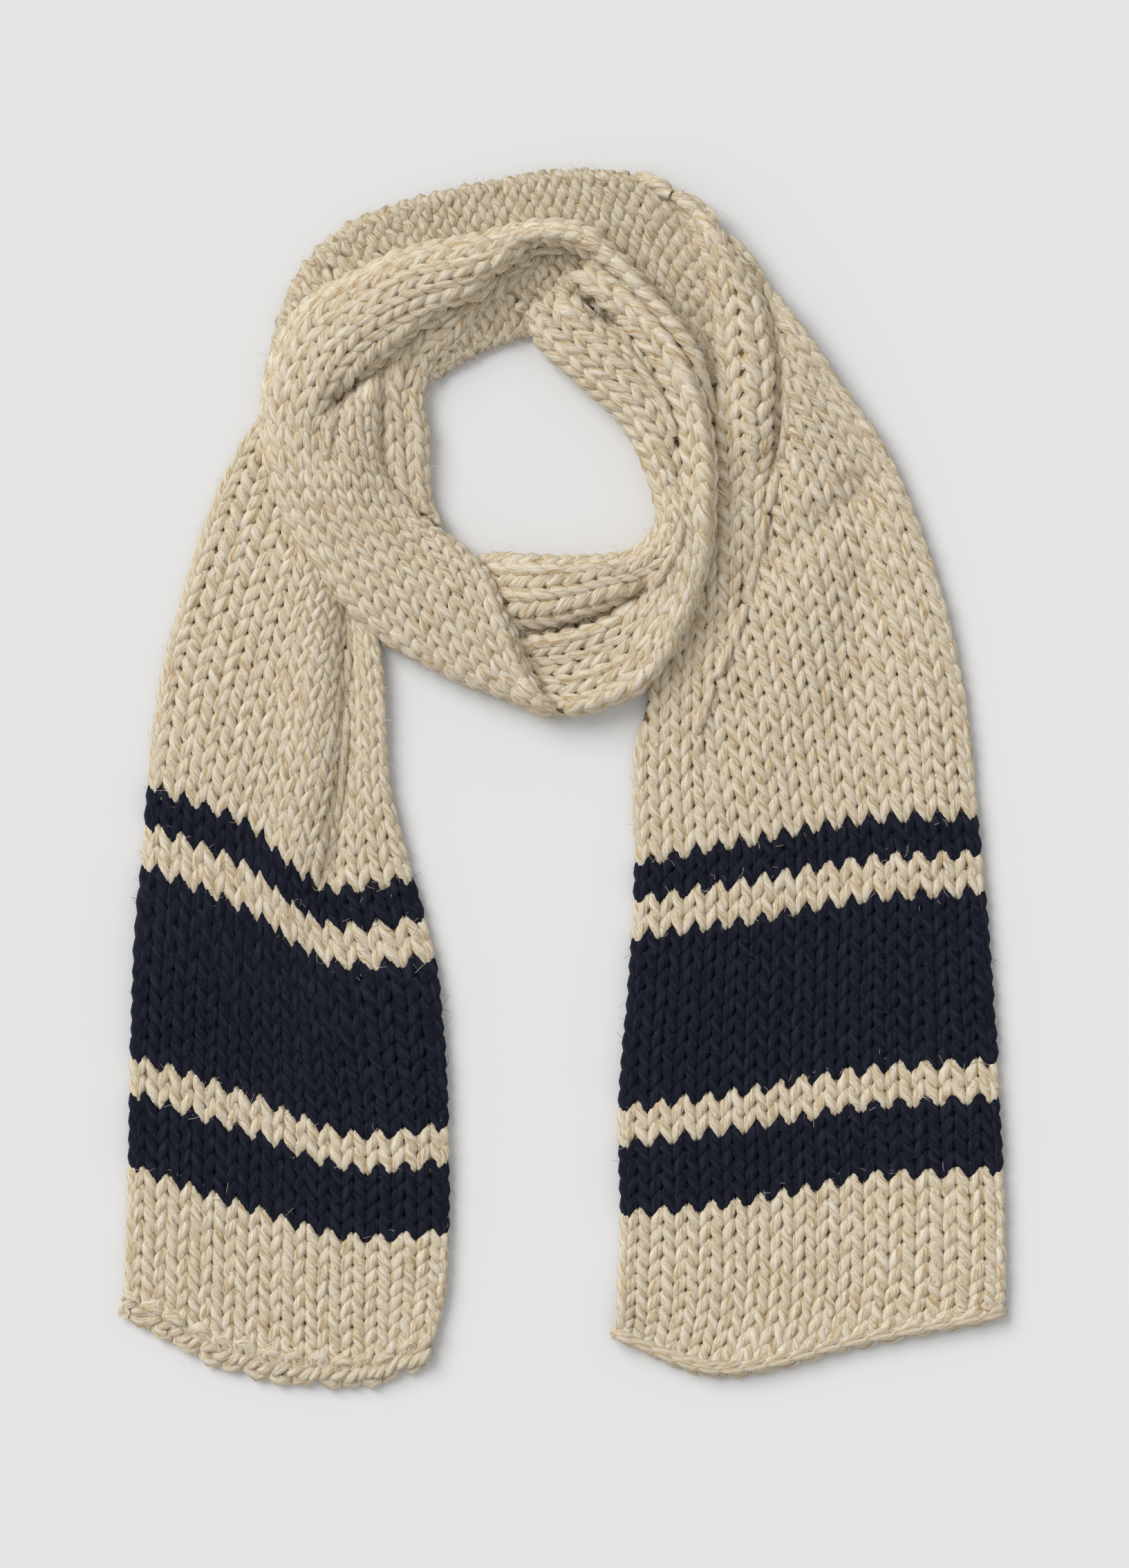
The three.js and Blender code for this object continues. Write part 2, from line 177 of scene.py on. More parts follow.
def smooth(knots, values, t):
    """A smooth curve through the values at the knots, for an array of t."""
    knots = np.asarray(knots, float)
    values = np.asarray(values, float)
    last = len(knots) - 1
    i = np.clip(np.searchsorted(knots, t, side="left") - 1, 0, last - 1)
    slopes = np.empty_like(values)
    for j in range(last + 1):
        before, after = max(j - 1, 0), min(j + 1, last)
        slopes[j] = (values[after] - values[before]) / (knots[after] - knots[before])
    span = (knots[i + 1] - knots[i])[:, None]
    f = (t - knots[i])[:, None] / span
    return blend(values[i], values[i + 1], slopes[i], slopes[i + 1], span, f)


def smooth_across(stops, values, w):
    """The same curve across a section, where every point has values of its own."""
    last = len(stops) - 1
    stops = np.asarray(stops, float)
    i = np.clip(np.searchsorted(stops, w, side="left") - 1, 0, last - 1)
    n = np.arange(len(w))
    slopes = np.empty_like(values)
    for j in range(last + 1):
        before, after = max(j - 1, 0), min(j + 1, last)
        slopes[:, j] = (values[:, after] - values[:, before]) / (stops[after] - stops[before])
    span = (stops[i + 1] - stops[i])[:, None]
    f = (w - stops[i])[:, None] / span
    return blend(values[n, i], values[n, i + 1], slopes[n, i], slopes[n, i + 1], span, f)


def on_chart(points):
    """Metres from chart units, for an array of x and y pairs."""
    points = np.asarray(points, float)
    x = (points[..., 0] - CHART_CENTRE[0]) * CHART_UNIT
    y = (CHART_CENTRE[1] - points[..., 1]) * CHART_UNIT
    return np.stack([x, y], -1)


def path_distance(plan, path):
    """Distance of each plan point from a path on the chart, in metres."""
    path = on_chart(path)
    nearest = np.full(len(plan), np.inf)
    for a, b in zip(path[:-1], path[1:]):
        d = b - a
        f = np.clip(((plan - a) @ d) / (d @ d), 0, 1)
        nearest = np.minimum(nearest, np.linalg.norm(plan - a - f[:, None] * d, axis=1))
    return nearest


def stretch_frame(stretch, row):
    """A stretch's section at each knitted row: plan points across, heights, the girth from
    edge to edge over the top, the radius of its rolled edges, and the wales it shows."""
    table = np.array(stretch["sections"], float)
    count = len(stretch["stops"])
    line = np.interp(row, stretch["rows"], table[:, 0])
    line = line + np.minimum(row - stretch["rows"][0], 0) + np.maximum(row - stretch["rows"][-1], 0)
    values = smooth(table[:, 0], table[:, 1:], line)
    points = on_chart(values[:, : 2 * count].reshape(len(line), count, 2))
    width = np.linalg.norm(np.diff(points, axis=1), axis=2).sum(1)
    roll = np.minimum(HEAP_ROLL if stretch["heap"] else LAYER_ROLL, width * ROLL_SHARE)
    girth = width - 2 * roll + math.pi * roll
    if "wales" in stretch:
        marks = np.array(stretch["wales"], float)
        wales = np.column_stack([np.interp(line, marks[:, 0], marks[:, j]) for j in range(1, 6)])
    else:
        # no wales are hidden in a fold, and they are counted from one edge
        final = girth / stretch["wale_width"]
        first = final * 0 if stretch["anchor"] == 0 else stretch["last_wale"] - final
        final = final + first
        mid = (first + final) / 2
        wales = np.column_stack([first, mid, mid, final, final * 0 + 0.5])
    return points, values[:, 2 * count : 2 * count + 3] * 1e-3, width, roll, girth, wales


def knit_rows(stretch):
    """Numbers the sections in knitted rows: as stated on a tail, by their spacing on the
    ring, where a row is always as high as the yarn makes it."""
    table = np.array(stretch["sections"], float)
    if not stretch["heap"]:
        return table[:, 0]
    count = len(stretch["stops"])
    middle = on_chart(table[:, 1 : 1 + 2 * count].reshape(len(table), count, 2)).mean(1)
    steps = np.linalg.norm(np.diff(middle, axis=0), axis=1)
    return np.concatenate([[0], np.cumsum(steps)]) / stretch.get("pitch", ROW)


def cloth_point(stretch, wale, row, under=False):
    """Points on the face of a stretch at wale and row numbers, or beneath them on its
    underside. Past an edge the cloth turns down round the edge's roll."""
    points, heights, width, roll, girth, wales = stretch_frame(stretch, row)
    left, before, after, right, crease = wales.T
    share = np.where(
        wale < before,
        crease * (wale - left) / (before - left),
        np.where(wale > after, crease + (1 - crease) * (wale - after) / (right - after), crease),
    )
    beyond = np.minimum(wale - left, 0) + np.maximum(wale - right, 0)
    s = np.clip(share, 0, 1) * girth + beyond * WALE * UNDER_SHARE
    edge = np.minimum(s, girth - s)
    angle = np.clip(edge / roll, -ROLL_UNDER, math.pi / 2)
    rolled = edge < roll * math.pi / 2
    inward = np.where(rolled, roll * (1 - np.cos(angle)), edge - roll * (math.pi / 2 - 1))
    lift = np.where(rolled, np.sin(angle), 1.0)
    w = np.where(s < girth / 2, inward / width, 1 - inward / width)
    plan = smooth_across(stretch["stops"], points, w)
    crest = smooth_across([0, 0.5, 1], heights[:, :, None], w)[:, 0]
    for rise, spread, path in stretch["folds"]:
        far = path_distance(plan, path)
        crest = crest + rise * 1e-3 * np.exp(-((far / (spread * 1e-3)) ** 2))
    low = 0 * crest if stretch["heap"] else np.maximum(0, crest - CLOTH - LIFT_START)
    half = (crest - low) / 2
    to_end = np.minimum(row - stretch["rows"][0], stretch["rows"][-1] - row) * ROW
    closed = np.clip(1 - to_end / END_ROUND, 0, 1)
    rounding = np.sqrt(1 - closed**2)
    z = low + half + half * lift * rounding * (-1 if under else 1)
    return np.column_stack([plan, z])


def cloth_normal(stretch, wale, row):
    """Unit normals of the face, pointing out of the cloth: those of its broad form, so
    that the walls of a narrow fold stay close together."""
    stretch = {**stretch, "folds": []}
    step = 0.1
    a = cloth_point(stretch, wale + step, row) - cloth_point(stretch, wale - step, row)
    b = cloth_point(stretch, wale, row + step) - cloth_point(stretch, wale, row - step)
    n = np.cross(a, b) * stretch["side"]
    return n / np.maximum(np.linalg.norm(n, axis=1, keepdims=True), TINY)


def mesh_object(name, points, faces=(), edges=()):
    """A mesh object at the origin with these points, in metres."""
    mesh = bpy.data.meshes.new(name)
    mesh.from_pydata([tuple(p) for p in points], list(edges), list(faces))
    mesh.update()
    obj = bpy.data.objects.new(name, mesh)
    bpy.context.scene.collection.objects.link(obj)
    return obj


# The body's sections stand half a row apart and just inside the ends. Its skin lies this
# deep beneath the stitches and the underside, at most these shares of the edge's roll on
# the outer and inner skin, and its top and its underside stay this far above the floor.
STATION_STEP = 0.5
END_STATION = 0.06
FACE_INSET = 4.6e-3
UNDER_INSET = 0.4e-3
OUTER_SHARE = 0.62
INNER_SHARE = 0.8
TOP_CLEAR = 0.6e-3
UNDER_CLEAR = 0.2e-3


def cloth_body(stretch, materials, across, wall=None, dyed=()):
    """The body of the cloth behind the stitches: closed all round at the underside's form
    and just inside the stitches on top. With a wall it is hollow, as a folded heap is."""
    stop = stretch["rows"][-1]
    stations = np.append(np.arange(END_STATION, stop, STATION_STEP), stop - END_STATION)
    rings, marks = [], []
    for row in stations:
        _, _, _, roll, _, wales = stretch_frame(stretch, np.array([row]))
        left, before, after, right, crease = wales[0]
        spaced = np.concatenate([
            np.linspace(left, before, 2 + int(across * crease)),
            np.linspace(after, right, 2 + int(across * (1 - crease)))[1:],
        ])
        if before == after:
            spaced = np.linspace(left, right, len(spaced))
        # every ring has as many points as the first
        if len(rings) and len(spaced) * 2 - 2 != len(rings[0][0]):
            spaced = np.linspace(left, right, len(rings[0][0]) // 2 + 1)
        line = np.full(len(spaced), row)
        top, low = cloth_point(stretch, spaced, line), cloth_point(stretch, spaced, line, under=True)
        normal = cloth_normal(stretch, np.clip(spaced, left + 0.05, right - 0.05), line)
        down = normal * [1, 1, -1]
        thick = top[:, 2] - low[:, 2]
        open_edge = 1 - np.clip(thick / thick.max(), 0, 1)
        layers = []
        for extra in (0.0,) if wall is None else (0.0, wall):
            depth = min(FACE_INSET + extra, roll[0] * (OUTER_SHARE if extra == 0 else INNER_SHARE))
            over = top - normal * depth
            rise = UNDER_INSET + extra + (depth - UNDER_INSET - extra) * open_edge
            below = low - down * rise[:, None]
            over[:, 2] = np.maximum(over[:, 2], TOP_CLEAR + extra)
            below[:, 2] = np.clip(below[:, 2], UNDER_CLEAR + extra * 0.6, over[:, 2] - UNDER_CLEAR)
            layers.append(np.concatenate([over, below[-2:0:-1]]))
        rings.append(layers)
        steps = np.linalg.norm(np.diff(top, axis=0), axis=1)
        lap = np.concatenate([[0], np.cumsum(steps)]) / WALE
        lap = np.concatenate([lap, lap[-2:0:-1]])
        marks.append(np.column_stack([lap, np.full(len(lap), row), 0 * lap]))
    n = len(rings[0][0])
    total = len(rings)
    skins = len(rings[0])
    points = np.concatenate([np.concatenate([r[k] for r in rings]) for k in range(skins)])
    faces, row_of = [], []
    for k in range(skins):
        start = k * n * total
        for i in range(total - 1):
            for j in range(n):
                a, b = start + i * n + j, start + i * n + (j + 1) % n
                quad = (a, b, b + n, a + n)
                faces.append(quad if (stretch["side"] > 0) == (k == 0) else quad[::-1])
                row_of.append(stations[i])
    for i, flip in ((0, stretch["side"] > 0), (total - 1, stretch["side"] < 0)):
        if wall is None:
            cap = tuple(i * n + j for j in range(n))
            faces.append(cap[::-1] if flip else cap)
            row_of.append(stations[i])
        else:
            for j in range(n):
                a, b = i * n + j, i * n + (j + 1) % n
                quad = (a, b, b + n * total, a + n * total)
                faces.append(quad[::-1] if flip else quad)
                row_of.append(stations[i])
    obj = mesh_object(stretch["name"] + "_cloth", points, faces)
    for material in materials:
        obj.data.materials.append(material)
    dye = [1 if len(materials) > 1 and math.floor(r) in dyed else 0 for r in row_of]
    obj.data.polygons.foreach_set("material_index", dye)
    obj.data.polygons.foreach_set("use_smooth", [True] * len(faces))
    place = obj.data.attributes.new("knit_place", "FLOAT_VECTOR", "POINT")
    place.data.foreach_set("vector", np.concatenate(marks * skins).astype(np.float32).ravel())
    return obj


# Points round a loop, sides of the yarn, and its radius at a loop's legs and its turns.
YARN_STEPS = 12
YARN_SIDES = 6
YARN_FAT = 3.4e-3
YARN_THIN = 2.5e-3
# How far a loop bows in and out of the cloth, and its yarn stands above the cloth's form.
LOOP_DEPTH = 1.5e-3
STITCH_PROUD = 0.7e-3
# A loop's sway in wales, its rise in rows, the deepest dive into a fold in wales, and the
# deepest place in a rolled edge, as a share of its radius.
LOOP_SWAY = 0.265
LOOP_RISE = 0.80
FOLD_DIVE = 0.4
ROLL_DEPTH = 0.85
# Unevenness across, along and out of the cloth, in wales, rows and metres.
UNEVEN = (0.02, 0.03, 0.15e-3)
# Purl bumps stand higher, look fuller and lie less evenly than the knit side's loops.
PURL_BOW = 1.2
PURL_FULLNESS = 1.16
PURL_UNEVEN = 2.5
# The yarn's streaks are shifted by this from row to row.
STRAND_SHIFT = 7.31
OUTLINE_STATIONS = 60


def plan_outline(stretch):
    """Plan outline of a stretch as a closed loop of points, in metres."""
    rows = np.linspace(0, stretch["rows"][-1], OUTLINE_STATIONS)
    points = stretch_frame(stretch, rows)[0]
    return np.concatenate([points[:, 0], points[::-1, -1]])


def lies_under(loop, margin, spots):
    """Which spots lie inside the outline of an upper stretch, deeper than the margin."""
    x, y = spots[:, 0], spots[:, 1]
    inside = np.zeros(len(spots), bool)
    nearest = np.full(len(spots), np.inf)
    for a, b in zip(loop, np.roll(loop, -1, axis=0)):
        rise = b[1] - a[1] if abs(b[1] - a[1]) > TINY else TINY
        inside ^= ((a[1] > y) != (b[1] > y)) & (x < a[0] + (y - a[1]) * (b[0] - a[0]) / rise)
        d = b - a
        f = np.clip(((spots[:, :2] - a) @ d) / max(d @ d, TINY), 0, 1)
        nearest = np.minimum(nearest, np.linalg.norm(spots[:, :2] - a - f[:, None] * d, axis=1))
    return inside & (nearest > margin)


def stitch_loops(stretch, rows, purl_rows=(), covers=()):
    """Yarn centre lines of a stretch: in every row and wale one loop, which comes up beside
    its wale's middle, turns over its head and goes down again. The stitches that upper
    stretches hide are left out."""
    turn = np.arange(YARN_STEPS) * 2 * math.pi / YARN_STEPS
    wales, lines = [], []
    for row in rows:
        _, _, width, _, _, marks = stretch_frame(stretch, np.array([row + 0.5]))
        left, before, after, right, _ = marks[0]
        # round a heap's edges one more wale turns under, but not where it is a thin rope
        reach = 1.0 if stretch["heap"] and width[0] > 1.2 * WALE else 0.0
        for wale in range(math.ceil(left - reach - 0.3), math.floor(right + reach + 0.3)):
            # a wale stays if about a third of it shows outside the fold
            if wale + 0.3 < before or wale + 0.7 > after:
                wales.append(wale)
                lines.append(row)
    wales, lines = np.array(wales, float), np.array(lines, float)
    centre = cloth_point(stretch, wales + 0.5, lines + 0.5)
    open_air = np.ones(len(wales), bool)
    for loop, margin in covers:
        open_air &= ~lies_under(loop, margin, centre)
    wales, lines = wales[open_air], lines[open_air]
    # a loop swings sideways, rises over its row and bows out of the cloth at its legs
    sway = LOOP_SWAY * np.sin(2 * turn)
    height = -LOOP_RISE * np.cos(turn) * stretch["vee"]
    purl = np.isin(lines, list(purl_rows))[:, None]
    depth = (-np.cos(2 * turn) * LOOP_DEPTH * np.where(purl, -PURL_BOW, 1)).ravel()
    bow = 0.5 - 0.5 * np.cos(2 * turn)
    fullest = YARN_FAT * np.where(purl, PURL_FULLNESS, 1)
    radius = YARN_THIN + (fullest - YARN_THIN) * np.where(purl, 1 - bow, bow)
    # where the cloth is stretched or pushed together its yarn looks fuller or thinner
    sides = [cloth_point(stretch, wales + step, lines + 0.5) for step in (0.1, 0.9)]
    ends = [cloth_point(stretch, wales + 0.5, lines + step) for step in (0.1, 0.9)]
    broad = np.linalg.norm(sides[1] - sides[0], axis=1) / (0.8 * WALE)
    high = np.linalg.norm(ends[1] - ends[0], axis=1) / (0.8 * stretch.get("pitch", ROW))
    gauge = np.clip(broad, 0.85, 1.2) * np.clip(high, 1, 1.3)
    radius = (radius * gauge[:, None]).ravel()
    # hand-knit unevenness, the same each time
    drawn = np.random.default_rng(len(wales)).normal(0, 1, (len(wales), 3))
    jitter = np.repeat(drawn * np.where(purl, PURL_UNEVEN, 1), YARN_STEPS, axis=0) * UNEVEN
    k = (wales[:, None] + turn / (2 * math.pi) + sway).ravel() + jitter[:, 0]
    r = (lines[:, None] + 0.5 + height).ravel() + jitter[:, 1]
    z = depth + jitter[:, 2]
    # what lies past either side of a fold goes down into it
    roll, _, marks = stretch_frame(stretch, r)[3:]
    dive = np.clip(np.minimum(k - marks[:, 1], marks[:, 2] - k), 0, FOLD_DIVE) * WALE
    sunk = np.maximum(z - LOOP_DEPTH - YARN_FAT + STITCH_PROUD, -ROLL_DEPTH * roll) - dive
    points = cloth_point(stretch, k, r) + cloth_normal(stretch, k, r) * sunk[:, None]
    points[:, 2] = np.maximum(points[:, 2], radius)
    index = {(w, l): i for i, (w, l) in enumerate(zip(wales, lines))}
    edges = []
    for i, (w, l) in enumerate(zip(wales, lines)):
        start = i * YARN_STEPS
        edges += [(start + j, start + j + 1) for j in range(YARN_STEPS - 1)]
        after = index.get((w + 1, l))
        if after is not None:
            edges.append((start + YARN_STEPS - 1, after * YARN_STEPS))
    row_of = np.repeat(lines, YARN_STEPS)
    return {
        "points": points,
        "edges": edges,
        "radius": radius,
        "row": row_of,
        "strand": row_of * STRAND_SHIFT,
    }


def edge_path(stretch, wales, rows, lifts):
    """A yarn's path along a hem, at heights above the middle of the cloth's thickness."""
    plan = cloth_point(stretch, wales, rows)
    inside = cloth_point(stretch, wales, np.full(len(wales), 0.7))
    plan[:, 2] = np.maximum(inside[:, 2] - CLOTH / 2 + lifts, YARN_THIN)
    return plan


def edge_strands(stretch, count, chained):
    """The yarn along a hem: a chain of links on a bound-off edge, or two strands wound
    round each other on a cast-on edge."""
    points, edges = [], []
    # each link or turn is as long as a stitch is wide, in wales and rows from the hem
    if chained:
        turn = np.arange(YARN_STEPS) * 2 * math.pi / YARN_STEPS
        for link in range(count):
            wales = link + 0.5 - 0.78 * np.cos(turn)
            rows = 0.16 + 0.60 * (turn / (2 * math.pi) - 0.5) + 0.16 * np.sin(2 * turn)
            lifts = 1.4e-3 - 1.5e-3 * np.cos(2 * turn)
            edges += [(len(points) + j, len(points) + j + 1) for j in range(YARN_STEPS - 1)]
            points += list(edge_path(stretch, np.clip(wales, 0.05, count - 0.05), rows, lifts))
    else:
        for phase in (0, math.pi):
            wales = np.linspace(0.1, count - 0.1, count * 10)
            turn = wales * 2 * math.pi + 0.7 * np.sin(wales * 2.3) + phase
            rows = 0.30 + 0.20 * np.sin(turn) + 0.10 * np.sin(wales * 3.7)
            edges += [(len(points) + j, len(points) + j + 1) for j in range(len(wales) - 1)]
            points += list(edge_path(stretch, wales, rows, 2.3e-3 * np.cos(turn)))
    many = len(points)
    return {
        "points": np.array(points),
        "edges": edges,
        "radius": np.full(many, YARN_FAT * 0.75),
        "row": np.zeros(many),
        "strand": np.full(many, 3.7),
    }


def linear(hex_colour):
    """Linear RGBA of an sRGB hex colour."""
    parts = [int(hex_colour[i : i + 2], 16) / 255 for i in (1, 3, 5)]
    return [c / 12.92 if c <= 0.04045 else ((c + 0.055) / 1.055) ** 2.4 for c in parts] + [1.0]


def add(tree, kind, inputs=None, **settings):
    """Adds a node with its settings, its values and its links."""
    made = tree.nodes.new(kind)
    for key, value in settings.items():
        setattr(made, key, value)
    for key, value in (inputs or {}).items():
        if isinstance(value, bpy.types.NodeSocket):
            tree.links.new(value, made.inputs[key])
        else:
            made.inputs[key].default_value = value
    return made


# The yarn makes a full twist in this length, its streaks repeat in this length, and it has
# this many plies.
TWIST_LENGTH = 0.045
STREAK_LENGTH = 0.020
PLIES = 3.0


def blank_material(name):
    """A material with an empty node tree."""
    material = bpy.data.materials.new(name)
    material.use_nodes = True
    material.node_tree.nodes.clear()
    return material, material.node_tree


def wool_yarn(name, streak, base, pale):
    """Brushed wool blend, loosely plied: matte, with a faint halo of sheen, and marled
    streaks of a second shade that wind along the yarn with its twist."""
    material, tree = blank_material(name)
    along = add(tree, "ShaderNodeAttribute", attribute_name="along")
    around = add(tree, "ShaderNodeAttribute", attribute_name="around")
    strand = add(tree, "ShaderNodeAttribute", attribute_name="strand")
    side = add(tree, "ShaderNodeSeparateXYZ", {0: around.outputs["Vector"]})
    angle = add(tree, "ShaderNodeMath", {0: side.outputs[1], 1: side.outputs[0]}, operation="ARCTAN2")
    turned = add(
        tree,
        "ShaderNodeMath",
        {0: along.outputs["Fac"], 1: 2 * math.pi / TWIST_LENGTH, 2: angle.outputs[0]},
        operation="MULTIPLY_ADD",
    )
    plies = add(tree, "ShaderNodeMath", {0: turned.outputs[0], 1: PLIES}, operation="MULTIPLY")
    groove = add(tree, "ShaderNodeMath", {0: plies.outputs[0]}, operation="SINE")
    # the streaks are stretched along the yarn, and one step of their noise is about 1.5 mm round it
    run = add(
        tree,
        "ShaderNodeMath",
        {0: along.outputs["Fac"], 1: 1 / STREAK_LENGTH, 2: strand.outputs["Fac"]},
        operation="MULTIPLY_ADD",
    )
    east = add(tree, "ShaderNodeMath", {0: turned.outputs[0]}, operation="COSINE")
    north = add(tree, "ShaderNodeMath", {0: turned.outputs[0]}, operation="SINE")
    fibre = add(
        tree, "ShaderNodeCombineXYZ", {0: east.outputs[0], 1: north.outputs[0], 2: run.outputs[0]}
    )
    marl = add(
        tree,
        "ShaderNodeTexNoise",
        {"Vector": fibre.outputs[0], "Scale": 2.6, "Detail": 4.0, "Roughness": 0.7},
    )
    shade = add(
        tree,
        "ShaderNodeMath",
        {0: groove.outputs[0], 1: 0.055, 2: marl.outputs["Fac"]},
        operation="MULTIPLY_ADD",
    )
    colour = add(tree, "ShaderNodeValToRGB", {"Fac": shade.outputs[0]})
    ramp = colour.color_ramp
    ramp.elements[0].position, ramp.elements[0].color = 0.33, linear(streak)
    ramp.elements[1].position, ramp.elements[1].color = 0.48, linear(base)
    top = ramp.elements.new(0.64)
    top.color = linear(pale)
    bump = add(tree, "ShaderNodeBump", {"Height": shade.outputs[0], "Strength": 0.9, "Distance": 0.0016})
    shader = add(
        tree,
        "ShaderNodeBsdfPrincipled",
        {
            "Base Color": colour.outputs["Color"],
            "Roughness": 0.9,
            "Specular IOR Level": 0.15,
            "Sheen Weight": 0.25,
            "Sheen Roughness": 0.5,
            "Sheen Tint": linear(pale),
            "Normal": bump.outputs["Normal"],
        },
    )
    add(tree, "ShaderNodeOutputMaterial", {"Surface": shader.outputs[0]})
    return material


def wool_halo(name, colour):
    """Single fibres of the same wool, matte, coloured lighter than the yarn: a painted highlight for the
    light they catch.
    """
    material, tree = blank_material(name)
    place = add(tree, "ShaderNodeTexCoord")
    # neighbouring fibres differ a little, over some 5 mm
    mix = add(tree, "ShaderNodeTexNoise", {"Vector": place.outputs["Object"], "Scale": 200.0})
    tone = add(
        tree,
        "ShaderNodeMix",
        {"Factor": mix.outputs["Fac"], "A": [v * 0.8 for v in linear(colour)], "B": linear(colour)},
        data_type="RGBA",
    )
    shader = add(
        tree,
        "ShaderNodeBsdfPrincipled",
        {"Base Color": tone.outputs["Result"], "Roughness": 0.9, "Specular IOR Level": 0.1},
    )
    add(tree, "ShaderNodeOutputMaterial", {"Surface": shader.outputs[0]})
    return material


def knit_depth(name, deep_painted_shade, raised_painted_shade):
    """The inner and under side of the same knitting: rows of low purl bumps, one a stitch,
    in painted shade: dark yarn tones stand in for the shade down between the stitches."""
    material, tree = blank_material(name)
    place = add(tree, "ShaderNodeAttribute", attribute_name="knit_place")
    split = add(tree, "ShaderNodeSeparateXYZ", {0: place.outputs["Vector"]})
    # one wave a row and one a wale, the wales' shifted by half a stitch every other row
    rows = add(tree, "ShaderNodeMath", {0: split.outputs[1], 1: 4 * math.pi}, operation="MULTIPLY")
    wales = add(tree, "ShaderNodeMath", {0: split.outputs[0], 1: 2 * math.pi}, operation="MULTIPLY")
    half = add(
        tree,
        "ShaderNodeMath",
        {0: split.outputs[1], 1: 2 * math.pi, 2: wales.outputs[0]},
        operation="MULTIPLY_ADD",
    )
    up = add(tree, "ShaderNodeMath", {0: rows.outputs[0]}, operation="SINE")
    side = add(tree, "ShaderNodeMath", {0: half.outputs[0]}, operation="SINE")
    relief = add(
        tree,
        "ShaderNodeMath",
        {0: side.outputs[0], 1: 0.5, 2: up.outputs[0]},
        operation="MULTIPLY_ADD",
    )
    height = add(
        tree,
        "ShaderNodeMapRange",
        {"Value": relief.outputs[0], "From Min": -1.5, "From Max": 1.5},
    )
    # painted shade: darkest in the troughs between the bumps, lighter on the bumps
    tone = add(
        tree,
        "ShaderNodeMix",
        {"Factor": height.outputs["Result"], "A": linear(deep_painted_shade), "B": linear(raised_painted_shade)},
        data_type="RGBA",
    )
    bump = add(
        tree,
        "ShaderNodeBump",
        {"Height": height.outputs["Result"], "Strength": 0.9, "Distance": 0.003},
    )
    shader = add(
        tree,
        "ShaderNodeBsdfPrincipled",
        {
            "Base Color": tone.outputs["Result"],
            "Roughness": 0.95,
            "Specular IOR Level": 0.1,
            "Normal": bump.outputs["Normal"],
        },
    )
    add(tree, "ShaderNodeOutputMaterial", {"Surface": shader.outputs[0]})
    return material


def sweep_tree(material):
    """Geometry Nodes: sweeps yarn of each point's radius along every path, and notes how
    far along and where round the yarn each point lies."""
    tree = bpy.data.node_groups.new("Yarn_along_stitches", "GeometryNodeTree")
    tree.interface.new_socket("Paths", in_out="INPUT", socket_type="NodeSocketGeometry")
    sides = tree.interface.new_socket("Yarn sides", in_out="INPUT", socket_type="NodeSocketInt")
    scale = tree.interface.new_socket("Yarn thickness", in_out="INPUT", socket_type="NodeSocketFloat")
    tree.interface.new_socket("Yarn", in_out="OUTPUT", socket_type="NodeSocketGeometry")
    start = add(tree, "NodeGroupInput")
    curve = add(tree, "GeometryNodeMeshToCurve", {"Mesh": start.outputs["Paths"]})
    radius = add(tree, "GeometryNodeInputNamedAttribute", {"Name": "yarn_radius"}, data_type="FLOAT")
    thick = add(
        tree,
        "ShaderNodeMath",
        {0: radius.outputs["Attribute"], 1: start.outputs["Yarn thickness"]},
        operation="MULTIPLY",
    )
    length = add(tree, "GeometryNodeSplineParameter")
    kept = add(
        tree,
        "GeometryNodeStoreNamedAttribute",
        {"Geometry": curve.outputs["Curve"], "Name": "along", "Value": length.outputs["Length"]},
        data_type="FLOAT",
        domain="POINT",
    )
    ring = add(
        tree,
        "GeometryNodeCurvePrimitiveCircle",
        {"Resolution": start.outputs["Yarn sides"], "Radius": 1.0},
        mode="RADIUS",
    )
    where = add(tree, "GeometryNodeInputPosition")
    marked = add(
        tree,
        "GeometryNodeStoreNamedAttribute",
        {"Geometry": ring.outputs["Curve"], "Name": "around", "Value": where.outputs[0]},
        data_type="FLOAT_VECTOR",
        domain="POINT",
    )
    tube = add(
        tree,
        "GeometryNodeCurveToMesh",
        {
            "Curve": kept.outputs["Geometry"],
            "Profile Curve": marked.outputs["Geometry"],
            "Scale": thick.outputs[0],
            "Fill Caps": True,
        },
    )
    soft = add(tree, "GeometryNodeSetShadeSmooth", {"Geometry": tube.outputs["Mesh"], "Shade Smooth": True})
    real = add(tree, "GeometryNodeRealizeInstances", {"Geometry": soft.outputs["Geometry"]})
    dyed = add(tree, "GeometryNodeSetMaterial", {"Geometry": real.outputs["Geometry"], "Material": material})
    add(tree, "NodeGroupOutput", {"Yarn": dyed.outputs["Geometry"]})
    return tree, sides.identifier, scale.identifier


def knit(name, loops, material, chosen=None):
    """Yarn swept along the loops of the chosen rows, as one plain mesh."""
    points, edges = loops["points"], np.array(loops["edges"])
    radius, strand = loops["radius"], loops["strand"]
    if chosen is not None:
        keep = np.isin(loops["row"], list(chosen))
        order = np.cumsum(keep) - 1
        edges = order[edges[keep[edges].all(1)]]
        points, radius, strand = points[keep], radius[keep], strand[keep]
    paths = mesh_object(name + "_paths", points, edges=[tuple(e) for e in edges])
    for key, values in (("yarn_radius", radius), ("strand", strand)):
        attribute = paths.data.attributes.new(key, "FLOAT", "POINT")
        attribute.data.foreach_set("value", values.astype(np.float32))
    tree, sides, scale = sweep_tree(material)
    modifier = paths.modifiers.new("yarn", "NODES")
    modifier.node_group = tree
    modifier[sides] = YARN_SIDES
    modifier[scale] = 1.0
    obj = plain_copy(paths, name)
    bpy.data.objects.remove(paths)
    return obj


